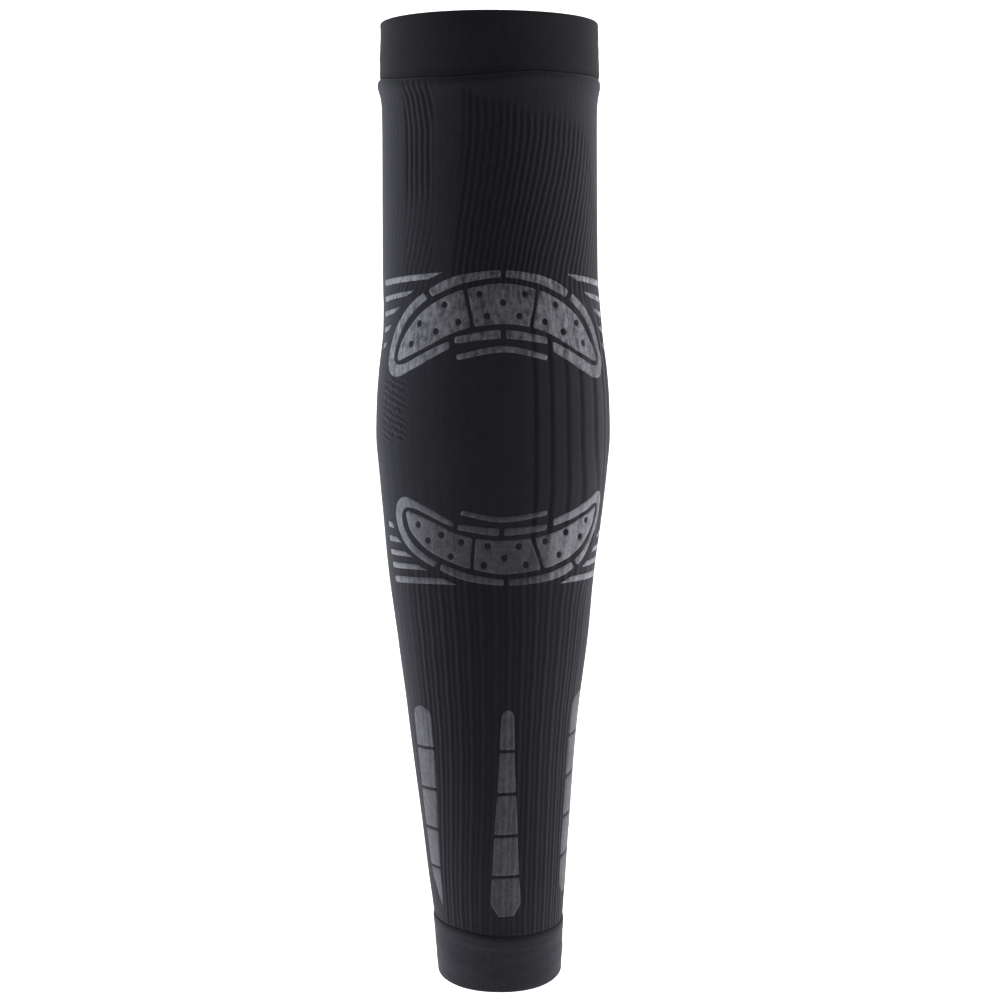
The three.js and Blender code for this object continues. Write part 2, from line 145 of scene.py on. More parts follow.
# Floor that sweeps up behind the part
FLOOR_DROP = 0.06
FLOOR_HALF_WIDTH = 5.0
FLOOR_FRONT = -4.0
FLOOR_BACK = 2.2
FLOOR_CURVE = 1.0
BACKDROP_HEIGHT = 4.5

# Photograph's view
CAMERA_PLACE = (0.00315, -1.55, -0.02856)
CAMERA_LENS = 132.86

# The arm's sections. at: share of the length, -1 at the top rim, 0 at the elbow, 1 at the wrist rim.
# full: 0 for the width at that end, 1 for the elbow's width. depth: depth over width.
# sway: share of the wrist's step to the side.
SECTIONS = [
    (-1.0, 0.06, 1.0, -0.45),
    (-0.88, 0.12, 1.0, -0.43),
    (-0.84, 0.16, 1.0, -0.43),
    (-0.78, 0.03, 1.01, -0.42),
    (-0.7, 0.0, 1.01, -0.4),
    (-0.4, 0.01, 1.01, -0.32),
    (-0.25, 0.22, 0.98, 0.02),
    (-0.15, 0.7, 0.96, 0.06),
    (-0.08, 0.92, 0.95, 0.07),
    (0.0, 1.0, 0.94, 0.07),
    (0.07, 0.945, 0.94, 0.07),
    (0.14, 0.872, 0.95, 0.03),
    (0.25, 0.745, 0.96, -0.15),
    (0.38, 0.59, 0.97, 0.05),
    (0.5, 0.432, 0.97, 0.06),
    (0.72, 0.213, 0.96, 0.45),
    (0.81, 0.136, 0.95, 0.65),
    (0.89, 0.062, 0.94, 0.83),
    (1.0, 0.0, 0.93, 1.0),
]

# One rib from its middle round to the next, as shares of a groove's depth: split in two on the upper arm
# and, less deeply, on the forearm, and broad at the elbow with its crest to one side
# The same shares also paint the knit darker in the grooves and lighter on the elbow's crest, as painted shade
# and light
UPPER_RIB = [0, 0.45, 0.95, 0.9, 0.4, 0.05, 0.5, 1, 0.95, 0.45]
ELBOW_RIB = [0.05, 0.12, 0.2, 0.35, 0.75, 1, 0.3, -0.2, -0.15, -0.05]
FORE_RIB = [0, 0.3, 0.68, 0.8, 0.58, 0.32, 0.58, 0.8, 0.68, 0.3]

# How far the ribs sweep across the upper arm, and how far they are turned from even spacing lower down.
# Columns: angle, turn in degrees.
RIB_SWEEP = [(-180, 20), (-100, 16), (-15, 13), (8, 18), (30, 25), (70, 25), (180, 20)]
ELBOW_TURN = [
    (-180, 0),
    (-30, 0),
    (10, 1),
    (21, 2.25),
    (29.5, 3.25),
    (39, 5.25),
    (48.5, 7.25),
    (60, 11.25),
    (71, 15),
    (100, 13),
    (150, 0),
    (180, 0),
]
FORE_TURN = [
    (-180, 0),
    (-100, -3),
    (-60, -3),
    (-46, -1),
    (-21, 1),
    (2, 2),
    (18, 3),
    (34, 4),
    (52, 7),
    (75, 7),
    (130, 2),
    (180, 0),
]
WRIST_TURN = [
    (-180, 0),
    (-110, -10),
    (-60, -14),
    (-42, -12),
    (-24, -9),
    (-6, -6),
    (4, -3.5),
    (13, -2),
    (23.5, 1),
    (33, 3),
    (43, 5.5),
    (52, 7),
    (75, 9),
    (120, 6),
    (180, 0),
]

# Where round the arm the knit changes, in degrees. Columns: start, full from, full to, end.
LEFT_SWEPT = (-110, -80, -32, -16)
RIB_GROUP = (-52, -48.5, -32, -29)
ELBOW_PANEL = (-120, -95, 14, 20)
LEFT_EDGE = (-120, -100, -54, -47)
RIGHT_EDGE = (60, 72, 100, 120)

# The same where the knit changes once. Columns: start, full.
PANEL_EDGE = (-16, -11)
RIGHT_SIDE = (50, 62)
BACK = (95, 120)

# Where the group of ribs in the upper panel ends, and where it comes back fainter, as shares of the upper
# length. Columns: start, full.
GROUP_END = (-0.62, -0.5)
GROUP_BACK = (-0.56, -0.46)
GROUP_FAINT = 0.35

# How plain the knit gets at the right of the upper arm and at the two edges lower down, as shares
RIGHT_SIDE_PLAIN = 0.45
LEFT_EDGE_PLAIN = 0.8
RIGHT_EDGE_PLAIN = 0.6

# How the knit rolls over at a seam, as shares of the roll's length
ROLL_STEPS = (0, 0.08, 0.2, 0.4, 0.68, 1)

# The hatched patch in the knit's own coordinates, ribs round the arm and as many widths along it.
# Columns: start, full from, full to, end.
HATCH_RIBS = (41.6, 42.4, 44.4, 45.0)
HATCH_ALONG = (-4.2, -3.2, 0.2, 1.0)

# How far the seams and the wrist's rim wander down the arm. Columns: angle, share of the wander.
UPPER_SEAM = [
    (-180, 0),
    (-95, -0.2),
    (-76, 0.05),
    (-55, 0.85),
    (-32, 1.2),
    (-20, 1.4),
    (-5, 1.15),
    (12, 0.5),
    (25, 0.1),
    (50, 0),
    (71, -0.15),
    (120, 0),
    (180, 0),
]
WRIST_SEAM = [
    (-180, 0),
    (-110, -0.2),
    (-75, -0.55),
    (-33, -0.75),
    (-8, -0.25),
    (10, 0),
    (35, 0.2),
    (70, 0.75),
    (110, 0.3),
    (180, 0),
]
UPPER_RIM = [(-180, 0), (180, 0)]
WRIST_RIM = [(-180, 0), (-90, 0.8), (-45, 0.5), (0, 0.2), (45, 0.5), (90, 0.7), (180, 0)]

# Where the cuffs' folds show. Columns: angle, share.
UPPER_FOLD_SHOWN = [(-180, 0), (-5, 0), (25, 1), (70, 1), (110, 0), (180, 0)]
WRIST_FOLD_SHOWN = [(-180, 0), (-60, 0), (-30, 1), (35, 1), (70, 0.2), (180, 0)]

# Where the ribs begin below the upper cuff. angle: round the arm. start: share of the upper length.
RIB_STARTS = [
    (-26, -0.86),
    (-12, -0.85),
    (-5, -0.81),
    (5, -0.8),
    (22, -0.775),
    (45, -0.757),
    (63, -0.72),
    (72, -0.6),
    (90, -0.5),
    (150, -0.86),
]

# The two crescents are one drawing turned over. edge: the outer edge below the elbow. height: from there
# towards the elbow. left and right: how far the tips reach round the arm, in degrees. ease: how much
# further half way. drift: the middle line's turn at the outer edge, half way and at the tips. squeeze: how
# much lower the drawing is. tips and curl: how much longer it is drawn out at its tips and at its sides, as
# shares of the height. slim: how much is taken off the loops' tails. ends: how far the zones' ends beside
# those tails are moved round. middle_dots and dots: each dot's shares of the reach and of the height.
CRESCENTS = {
    "upper": {
        "edge": -UPPER_CRESCENT,
        "height": UPPER_CRESCENT_HEIGHT,
        "squeeze": 0,
        "tips": {"left": 0, "right": 0},
        "curl": {"left": 0, "right": 0},
        "slim": {"left": 0.025, "right": 0},
        "ends": {"left": 0, "right": 0},
        "left": 71.5,
        "right": 66.8,
        "ease": {"left": 0, "right": 0},
        "drift": (0.2, -1.1, -0.5),
        "middle_dots": [(-0.171, 0.225), (0.171, 0.225), (0, 0.305), (-0.115, 0.43), (0.125, 0.43)],
        "dots": {
            "left": [(0.431, 0.32), (0.322, 0.487), (0.498, 0.569), (0.644, 0.488), (0.716, 0.68)],
            "right": [(0.435, 0.316), (0.335, 0.479), (0.5, 0.569), (0.644, 0.478), (0.705, 0.668)],
        },
    },
    "lower": {
        "edge": LOWER_CRESCENT,
        "height": -LOWER_CRESCENT_HEIGHT,
        "squeeze": 0.035,
        "tips": {"left": 0.02, "right": 0.052},
        "curl": {"left": 0.04, "right": 0.07},
        "slim": {"left": 0.04, "right": 0.02},
        "ends": {"left": 0.012, "right": -0.036},
        "left": 66.3,
        "right": 67.8,
        "ease": {"left": -1.2, "right": 6},
        "drift": (1.7, -1.8, 0),
        "middle_dots": [(-0.168, 0.223), (0.157, 0.228), (0.013, 0.305), (-0.108, 0.443), (0.122, 0.44)],
        "dots": {
            "left": [(0.436, 0.324), (0.326, 0.489), (0.5, 0.573), (0.628, 0.508), (0.724, 0.686)],
            "right": [(0.421, 0.334), (0.309, 0.494), (0.473, 0.587), (0.639, 0.527), (0.684, 0.706)],
        },
    },
}

# Curves of a crescent. Columns: share of the reach round the arm, share of the height.
RIM_OUTER = [(0, 0), (0.28, 0.036), (0.43, 0.088), (0.57, 0.172)]
RIM_INNER = [(0, 0.069), (0.28, 0.119), (0.41, 0.175), (0.54, 0.243)]
PANEL_OUTER = [
    (0, 0.125),
    (0.29, 0.182),
    (0.455, 0.26),
    (0.61, 0.369),
    (0.74, 0.515),
    (0.83, 0.66),
    (0.866, 0.81),
]
PANEL_INNER = [(0, 0.507), (0.22, 0.536), (0.38, 0.597), (0.55, 0.7), (0.7, 0.779), (0.845, 0.838)]
BAND_OUTER = [(0, 0.561), (0.35, 0.625)]
BAND_INNER = [(0, 0.646), (0.35, 0.69)]
STRIP_OUTER = [(0, 0.714), (0.34, 0.795)]
STRIP_INNER = [(0, 0.774), (0.33, 0.847)]

# The loop round a crescent's tip, along its outer and its inner edge. Columns as above.
LOOP_OUTER = [
    (0.615, 0.2),
    (0.738, 0.3),
    (0.866, 0.45),
    (0.957, 0.62),
    (0.992, 0.8),
    (0.955, 0.94),
    (0.83, 0.995),
    (0.66, 0.93),
    (0.5, 0.83),
    (0.385, 0.757),
]
LOOP_INNER = [
    (0.575, 0.262),
    (0.68, 0.35),
    (0.8, 0.49),
    (0.885, 0.66),
    (0.905, 0.8),
    (0.865, 0.868),
    (0.765, 0.862),
    (0.64, 0.797),
    (0.5, 0.719),
    (0.39, 0.662),
]

# Where the dotted panels part at their outer and inner edge
PANEL_SPLIT = (0.277, 0.219)
SPLIT_GAP = 0.028
MIDDLE_GAP = 0.02

# The stripes beside a crescent. Columns: length of the pointed start as a share of the reach, and the
# shares of the height at the start and at the end.
STRIPES = [
    (0.12, 0.045, 0.08),
    (0.09, 0.2, 0.235),
    (0.08, 0.35, 0.378),
    (0.06, 0.51, 0.53),
    (0.03, 0.67, 0.685),
]

# The shares of the reach where the stripes start and where they all end
STRIPE_STARTS = {
    "upper": {"left": (0.45, 0.71, 0.87, 0.99, 1.06), "right": (0.56, 0.77, 0.92, 1.02, 1.08)},
    "lower": {"left": (0.43, 0.69, 0.82, 0.93, 1.03), "right": (0.42, 0.69, 0.9, 1.03, 1.08)},
}
STRIPE_END = 1.145
# How much lighter each side's stripes are painted than the rest of the print
STRIPE_TONES = {"upper": {"left": 1.15, "right": 1.6}, "lower": {"left": 1.2, "right": 1.25}}

# The bars. Columns: share of the row of bars, then in degrees the turn of all three bars, half the middle
# bar, and the inner and outer edges of the left bar and of the right one.
BARS = [
    (0, 3.4, 0.6, 64, 66, 64, 66),
    (0.006, 3.4, 2.1, 60.8, 69.2, 60.8, 69.2),
    (0.014, 3.4, 3.2, 58, 72, 58, 72),
    (0.026, 3.35, 4, 56, 74, 56, 74),
    (0.045, 3.3, 4.35, 55, 75, 55, 75),
    (0.2, 3.1, 5.3, 54.8, 75.5, 54.8, 75.5),
    (0.4, 2.5, 6.9, 56, 75.8, 55, 75.8),
    (0.6, 1.6, 9.1, 58, 75.8, 55.5, 75.8),
    (0.8, 0.9, 11, 59.6, 74.2, 56, 75.5),
    (0.93, 0.5, 12.5, 59.8, 67, 57, 74),
    (1, 0.5, 6.6, 62, 62.4, 63, 70),
]

# Each row of bars: how close together its bars are, the same for the first bar, and how far the row is
# moved down the arm
BAR_ROWS = {"left": (0.968, 0.968, -0.0002), "middle": (0.995, 0.935, 0), "right": (0.985, 0.985, -0.0011)}

# Painted light on the print: lighter towards the sides, where more light falls. Columns: angle from the
# zones' middle, then the painted light of the upper crescent, of the lower one and of the bars, as shares of
# the print's usual tone.
PRINT_PAINTED_LIGHT = [
    (-100, 2, 2, 1.6),
    (-76, 1.9, 1.75, 1.3),
    (-62, 1.75, 1.5, 0.95),
    (-50, 1.5, 0.95, 0.85),
    (-40, 1.2, 0.65, 0.75),
    (-30, 0.93, 0.57, 0.7),
    (-20, 0.7, 0.46, 0.62),
    (-10, 0.63, 0.41, 0.56),
    (0, 0.62, 0.4, 0.54),
    (10, 0.7, 0.43, 0.56),
    (20, 1.1, 0.62, 0.65),
    (30, 1.4, 1.3, 0.8),
    (42, 1.6, 1.8, 0.9),
    (62, 1.45, 1.8, 1.05),
    (76, 2, 2, 1.4),
    (100, 2, 2, 1.7),
]

# How flecked the print is. Columns: distance below the elbow, share.
PRINT_FLECKS = [(-0.02, 1), (0.03, 0.5), (0.065, 0.5), (0.11, 0.3)]

# Colours of the finishes, in the shade and in the light
KNIT_COLORS = ((0.0021, 0.0018, 0.0034, 1), (0.012, 0.0104, 0.0177, 1))
CUFF_COLORS = ((0.0026, 0.0022, 0.0042, 1), (0.0185, 0.0163, 0.0262, 1))
PRINT_COLORS = ((0.045, 0.043, 0.052, 1), (0.215, 0.21, 0.236, 1))
BLACK_CLOTH = {"Specular IOR Level": 0.28, "Sheen Roughness": 0.5, "Sheen Tint": (0.84, 0.86, 1.0, 1)}

# The soft lights. Columns: name, place, width, height, power, colour.
LAMPS = [
    ("left_light", (-1.6, -0.1, 0.1), 1.2, 1.6, 15, (0.86, 0.95, 1.0)),
    ("right_light", (1.6, -0.1, 0.1), 1.2, 1.6, 15, (1.0, 0.98, 0.99)),
    ("front_light", (0.3, -2.4, 1.0), 1.2, 1.2, 1.5, (1.0, 1.0, 1.0)),
]
LAMPS_LOOK_AT = (0, 0, -0.03)

# Worked out from the sizes above. DEGREE: the length of one degree round the elbow.
SIDES = {"left": -1, "right": 1}
BODY_TOP = -UPPER_LENGTH + UPPER_CUFF_HEIGHT + SEAM_GAP / 2
BODY_END = FORE_LENGTH - WRIST_CUFF_HEIGHT - SEAM_GAP / 2
RIB_PITCH = 360 / RIB_COUNT
KNIT_PITCH = math.pi * ARM_WIDTH / RIB_COUNT
DEGREE = math.radians(ELBOW_WIDTH / 2)


def smooth(x, low, high):
    """0 below low, 1 above high, and level at both"""
    t = np.clip((x - low) / (high - low), 0, 1)
    return t * t * (3 - 2 * t)


def span(x, edges):
    """1 from the second edge to the third, and 0 before the first and after the last"""
    start, full, last, end = edges
    return smooth(x, start, full) * (1 - smooth(x, last, end))


def follow(rows, x, column=1):
    """A smooth curve through a table's rows that never overshoots them and starts out level"""
    table = np.array(rows, float)
    places, values = table[:, 0], table[:, column]
    span = np.diff(places)
    rise = np.diff(values) / span
    together = rise[:-1] * rise[1:] > 0
    slope = np.zeros(len(places))
    slope[1:-1][together] = 2 * (rise[:-1] * rise[1:])[together] / (rise[:-1] + rise[1:])[together]
    slope[-1] = rise[-1]
    x = np.clip(x, places[0], places[-1])
    i = np.clip(np.searchsorted(places, x, side="right") - 1, 0, len(span) - 1)
    t = (x - places[i]) / span[i]
    start = values[i] + t * t * (3 - 2 * t) * (values[i + 1] - values[i])
    return start + t * (1 - t) * span[i] * ((1 - t) * slope[i] - t * slope[i + 1])


def arm_at(down):
    """The arm at a distance below the elbow: half width, half depth, lean and centre"""
    upper = down < 0
    at = np.where(upper, down / UPPER_LENGTH, down / FORE_LENGTH)
    end = np.where(upper, ARM_WIDTH, WRIST_WIDTH)
    half_width = (end + (ELBOW_WIDTH - end) * follow(SECTIONS, at, 1)) / 2
    half_depth = half_width * follow(SECTIONS, at, 2)
    bend_radius = (FORE_LENGTH - BEND_START) / math.radians(WRIST_LEAN)
    lean = np.maximum(down - BEND_START, 0) / bend_radius
    centre = np.stack(
        [
            WRIST_SWAY * follow(SECTIONS, at, 3),
            bend_radius * (1 - np.cos(lean)),
            -np.minimum(down, BEND_START) - bend_radius * np.sin(lean),
        ],
        axis=-1,
    )
    return half_width, half_depth, lean, centre


def on_sleeve(angle, down, out):
    """Points of the sleeve, out metres off the ribs' crests"""
    angle, down, out = np.broadcast_arrays(angle, down, out)
    half_width, half_depth, lean, centre = arm_at(down)
    turn = np.radians(angle)
    normal = np.stack([np.sin(turn) / half_width, np.cos(turn) / half_depth])
    normal = normal / np.linalg.norm(normal, axis=0)
    across = half_width * np.sin(turn) + out * normal[0]
    back = half_depth * np.cos(turn) + out * normal[1]
    return centre + np.stack([across, -back * np.cos(lean), -back * np.sin(lean)], axis=-1)


def wrapped(angle):
    """The same angle between -180 and 180 degrees"""
    return (angle + 180) % 360 - 180


def swept(down, start):
    """How much of its sweep across the upper arm the knit has made"""
    return smooth(down, start * UPPER_LENGTH, SWEEP_END * UPPER_LENGTH)


def rib_turn(angle, down):
    """How far the ribs have turned round the arm: they sweep across the upper arm towards the elbow, later
    on the left, run down the elbow and spread apart on the forearm"""
    angle = wrapped(angle)
    left = span(angle, LEFT_SWEPT)
    sweep = follow(RIB_SWEEP, angle) * swept(down, SWEEP_START)
    late_sweep = LEFT_SWEEP * swept(down, LATE_SWEEP_START)
    lean = LEFT_LEAN * (1 - smooth(down, BODY_TOP, BODY_TOP + LEAN_LENGTH))
    upper = -sweep * (1 - left) - (LEFT_TURN + late_sweep + lean) * left
    elbow = follow(ELBOW_TURN, angle) * (1 + ELBOW_DRIFT * smooth(down, 0, PLAIN_PATCH / 3))
    at_fore = smooth(down, PLAIN_PATCH / 2, PLAIN_PATCH)
    at_wrist = smooth(down, 0.5 * FORE_LENGTH, 0.9 * FORE_LENGTH)
    fore = follow(FORE_TURN, angle) * (1 - at_wrist) + follow(WRIST_TURN, angle) * at_wrist
    lower = elbow * (1 - at_fore) + fore * at_fore - 3 * RIB_PITCH
    at_elbow = smooth(down, -UPPER_CRESCENT, -0.55 * UPPER_CRESCENT)
    along, around = 2 * math.pi * down / WOBBLE_LENGTH, np.radians(angle)
    waves = np.sin(along + 12 * around) + np.sin(1.7 * along - 7 * around)
    wobble = RIB_WOBBLE / 2 * (1 - ELBOW_CALM * at_elbow * (1 - at_fore)) * waves
    return upper * (1 - at_elbow) + lower * at_elbow + wobble


def rib_phase(angle, down):
    """Ribs counted round the arm"""
    return (angle - rib_turn(angle, down)) / RIB_PITCH


def rib_angles(phases, down):
    """The angles at which one row of the knit has these phases"""
    angles = np.linspace(-240, 420, 5281)
    return np.interp(phases, rib_phase(angles, down), angles)


def rib_strength(angle, down):
    """How deep the ribs are: faint in the plain panels of the upper arm, over the point of the elbow and
    at the edges of the forearm"""
    angle = wrapped(angle)
    front = 1 - smooth(abs(angle), *BACK)
    panel_angle = angle + PANEL_SWEEP * swept(down, SWEEP_START)
    share = down / UPPER_LENGTH
    group = 1 - smooth(share, *GROUP_END) + GROUP_FAINT * smooth(share, *GROUP_BACK)
    group = group * span(angle, RIB_GROUP)
    upper_panel = (1 - smooth(panel_angle, *PANEL_EDGE)) * (1 - group) * front
    upper_side = RIGHT_SIDE_PLAIN * smooth(angle, *RIGHT_SIDE) * front
    above_elbow = 1 - smooth(down, -UPPER_CRESCENT, -UPPER_CRESCENT + PLAIN_FADE)
    elbow_panel = span(angle, ELBOW_PANEL)
    round_elbow = 1 - smooth(abs(down), PLAIN_PATCH / 2 + PLAIN_FADE / 2, PLAIN_PATCH / 2 + PLAIN_FADE * 1.5)
    left_edge = LEFT_EDGE_PLAIN * span(angle, LEFT_EDGE) * smooth(down, 0, PLAIN_PATCH / 2)
    right_edge = RIGHT_EDGE_PLAIN * span(angle, RIGHT_EDGE) * smooth(down, -PLAIN_PATCH / 2, 0)
    start = UPPER_LENGTH * follow(RIB_STARTS, angle)
    begun = smooth(down, start, start + 0.03 * UPPER_LENGTH)
    plain = np.maximum(np.maximum(upper_panel, upper_side) * above_elbow, elbow_panel * round_elbow)
    plain = np.maximum(plain, np.maximum(left_edge, right_edge))
    return FAINT_RIB + (1 - FAINT_RIB) * (1 - plain) * begun


def seam_shift(angle, down):
    """How far the knit is pulled down the arm near the two seams"""
    angle = wrapped(angle)
    top = follow(UPPER_SEAM, angle) * (1 - smooth(abs(down - BODY_TOP), 0.15 * SEAM_REACH, SEAM_REACH))
    end = follow(WRIST_SEAM, angle) * (1 - smooth(abs(down - BODY_END), 0.15 * SEAM_REACH, SEAM_REACH))
    return SEAM_WANDER * (top + end)


def groove_depth(angle, down):
    """How deep the knit's grooves are, as a share of a rib's depth"""
    step = (rib_phase(angle, down) % 1) * RIB_STEPS
    steps = range(RIB_STEPS + 1)
    upper, elbow, fore = (np.interp(step, steps, rib + rib[:1]) for rib in (UPPER_RIB, ELBOW_RIB, FORE_RIB))
    to_elbow = smooth(down, -UPPER_CRESCENT, -PLAIN_PATCH / 2)
    to_fore = smooth(down, PLAIN_PATCH / 2, LOWER_CRESCENT)
    above = upper + (elbow - upper) * to_elbow
    return rib_strength(angle, down) * (above + (fore - above) * to_fore)


def knit_height(angle, down):
    """The knit's surface off the ribs' crests: grooves, rolled ends at the cuffs and a swell below one"""
    roll = np.clip(1 - np.minimum(down - BODY_TOP, BODY_END - down) / SEAM_ROLL, 0, 1)
    swell = SWELL * (0.82 - 0.18 * np.sin(np.radians(angle)))
    swell = swell * np.exp(-(((down - BODY_TOP - SWELL_PLACE) / SWELL_LENGTH) ** 2))
    return swell - RIB_DEPTH * groove_depth(angle, down) - SEAM_DEPTH * roll**2


def painted_knit_shade(angle, down):
    """Painted shade on the knit: darker in its grooves, and a painted shadow along the seams broken up by the
    seam's stitches
    """
    from_end = np.minimum(down - BODY_TOP, BODY_END - down)
    stitch = 0.8 + 0.2 * np.cos(2 * math.pi * SEAM_STITCHES * angle / RIB_PITCH)
    return groove_depth(angle, down) + SEAM_PAINTED_SHADOW * stitch * np.exp(-((from_end / SEAM_SHADE) ** 2))


def print_marks(angle, down):
    """The print's painted light, lighter towards the sides, and how flecked the print is"""
    off = wrapped(angle) - ZONE_MIDDLE
    upper, lower, barred = (follow(PRINT_PAINTED_LIGHT, off, column) for column in (1, 2, 3))
    painted_print_light = upper + (lower - upper) * smooth(down, -0.02, 0.03)
    painted_print_light = painted_print_light + (barred - lower) * smooth(down, LOWER_CRESCENT, LOWER_CRESCENT + 0.045)
    return painted_print_light, follow(PRINT_FLECKS, down)


def grid_cells(rows, columns):
    """The row and the column of each cell of a grid"""
    i, j = np.meshgrid(np.arange(rows), np.arange(columns), indexing="ij")
    return i.ravel(), j.ravel()


def tube_faces(rows, columns):
    """Quads of a tube's walls, inside and outside, closed on themselves both ways"""
    i, j = grid_cells(rows, columns)
    below, beside = (i + 1) % rows, (j + 1) % columns
    return np.stack([i * columns + j, below * columns + j, below * columns + beside, i * columns + beside], 1)


def make_piece(name, points, faces, knit, marks, material, nodes):
    """A closed mesh that rides on the part and stands for its nodes. knit: the knit's own coordinates at
    each corner of each face. marks: values at each point for the material to read."""
    mesh = bpy.data.meshes.new(name)
    mesh.from_pydata(np.asarray(points).tolist(), [], [list(map(int, face)) for face in faces])
    mesh.uv_layers.new(name="knit").data.foreach_set("uv", np.asarray(knit, np.float32).ravel())
    for mark, values in marks.items():
        data = mesh.attributes.new(mark, "FLOAT", "POINT").data
        data.foreach_set("value", np.asarray(values, np.float32).ravel())
    mesh.shade_smooth()
    mesh.materials.append(material)
    piece = bpy.data.objects.new(name, mesh)
    bpy.context.scene.collection.objects.link(piece)
    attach(piece, "root")
    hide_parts(*nodes)
    return piece


def tube_corners(rows, columns, downs, per_rib):
    """Knit coordinates at the corners of a tube's quads, which run on past the last column"""
    i, j = grid_cells(rows, columns)
    below = (i + 1) % rows
    across = np.stack([j, j, j + 1, j + 1], 1) / per_rib
    along = np.stack([downs[i], downs[below], downs[below], downs[i]], 1) / KNIT_PITCH
    return np.stack([across, along], 2).reshape(-1, 2)


def knit_body(material):
    """The ribbed tube between the cuffs, with a skin outside and a flatter one inside"""
    columns = RIB_COUNT * RIB_STEPS
    roll = SEAM_ROLL * np.array(ROLL_STEPS)
    middle = np.linspace(BODY_TOP + 2 * SEAM_ROLL, BODY_END - 2 * SEAM_ROLL, BODY_ROWS)
    outer_downs = np.concatenate([BODY_TOP + roll, middle, BODY_END - roll[::-1]])
    inner_downs = np.linspace(BODY_END, BODY_TOP, INNER_ROWS)
    downs = np.concatenate([outer_downs, inner_downs])[:, None]
    angles = np.stack([rib_angles(np.arange(columns) / RIB_STEPS, down) for down in downs[:, 0]])
    outside = (np.arange(len(downs)) < len(outer_downs))[:, None]
    out = np.where(outside, knit_height(angles, downs), -WALL - INNER_RIB * knit_height(angles, downs))
    out[len(outer_downs) + np.array([0, INNER_ROWS - 1])] = -WALL
    points = on_sleeve(angles, downs + seam_shift(angles, downs), out).reshape(-1, 3)
    faces = tube_faces(len(downs), columns)
    corners = tube_corners(len(downs), columns, downs[:, 0], RIB_STEPS)
    # Painted shade on the outside: darker in the grooves, with a painted shadow along the seams; the inside
    # gets an even 0.3
    marks = {"painted_shade": np.where(outside, painted_knit_shade(angles, downs), 0.3)}
    return make_piece("knit_body", points, faces, corners, marks, material, ["sleeve_body"])


def soft_wave(angle, down, seed):
    """A slight unevenness of soft cloth, from -1 to 1"""
    turn = np.radians(angle)
    rounds = [(2, 31, 0.4), (3, -47, 0.3), (5, 85, 0.2), (9, -120, 0.1)]
    return sum(share * np.sin(n * turn + k * down / 0.1 + seed * n) for n, k, share in rounds)


def cuff(name, node, ends, fold, shown, rim_wander, shade, material):
    """A band of doubled knit between its rim and its seam, rolled over at the rim, with a fold along it"""
    rim, seam = ends
    toward = np.sign(seam - rim)
    height = abs(seam - rim)
    lip = SEAM_ROLL * np.array(ROLL_STEPS)
    face = np.concatenate([lip, np.linspace(1.2 * SEAM_ROLL, height - CUFF_WALL / 2, 48)])
    sunk = SEAM_DEPTH * np.clip(1 - face / SEAM_ROLL, 0, 1) ** 2
    turns = np.radians(np.linspace(0, 180, 13)[1:-1])
    roll_out = CUFF_PROUD - CUFF_WALL / 2 * (1 - np.cos(turns))
    roll_face = height - CUFF_WALL / 2 * (1 - np.sin(turns))
    inner_face = np.linspace(height - CUFF_WALL / 2, 0, 8)
    inner_out = np.full(8, CUFF_PROUD - CUFF_WALL)
    faces_along = np.concatenate([face, roll_face, inner_face])[:, None]
    outs = np.concatenate([CUFF_PROUD - sunk, roll_out, inner_out])[:, None]
    outside = (np.arange(len(outs)) < len(face))[:, None]
    downs = seam - toward * faces_along
    angles = 360 / CUFF_COLUMNS * np.arange(CUFF_COLUMNS)[None, :]
    bead = outside * np.exp(-(((faces_along - fold) / FOLD_WIDTH) ** 2)) * follow(shown, wrapped(angles))
    free = smooth(faces_along, 0, 0.4 * height)
    out = outs + FOLD_HEIGHT * bead + SOFTNESS * free * soft_wave(angles, downs, rim * 10)
    wander = SEAM_WANDER * follow(rim_wander, wrapped(angles)) * faces_along / height
    points = on_sleeve(angles, downs + seam_shift(angles, downs) + wander, out).reshape(-1, 3)
    faces = tube_faces(len(downs), CUFF_COLUMNS)
    corners = tube_corners(len(downs), CUFF_COLUMNS, downs[:, 0], CUFF_COLUMNS / RIB_COUNT)
    if toward > 0:
        faces = faces[:, ::-1]
        corners = corners.reshape(-1, 4, 2)[:, ::-1].reshape(-1, 2)
    # Painted light and shade on the cuff: a painted shadow along the seam, the band from the seam up to the
    # fold and the fold's bead painted lighter as painted highlights, and shade darkens or lightens the whole
    # cuff
    fold_painted_light = 0.25 * follow(shown, wrapped(angles)) * (1 - smooth(faces_along, 0.7 * fold, 1.1 * fold))
    dark = CUFF_SEAM_PAINTED_SHADOW * np.exp(-((faces_along / SEAM_SHADE) ** 2))
    marks = {"painted_shade": shade + outside * (dark - fold_painted_light) - 0.3 * bead}
    return make_piece(name, points, faces, corners, marks, material, [node])


def on_crescent(crescent, around, toward):
    """A crescent's own coordinates to the angle and the distance down the sleeve"""
    left = around < 0
    reach = np.where(left, crescent["left"], crescent["right"])
    curl = np.where(left, crescent["curl"]["left"], crescent["curl"]["right"])
    ease = np.where(left, crescent["ease"]["left"], crescent["ease"]["right"])
    tips = crescent["tips"]["left"]
    tips = tips + (crescent["tips"]["right"] - tips) * smooth(around, -0.5, 0.5)
    side = np.clip(abs(around), 0, 1)
    ease = ease * np.sign(around) * np.sin(math.pi * side**EASE_RISE)
    drift = follow([(i / 2, turn) for i, turn in enumerate(crescent["drift"])], toward)
    drawn = toward * (1 - crescent["squeeze"] + curl * around**2) + tips * toward**4
    down = crescent["edge"] + crescent["height"] * drawn
    return around * reach + ease + drift, down


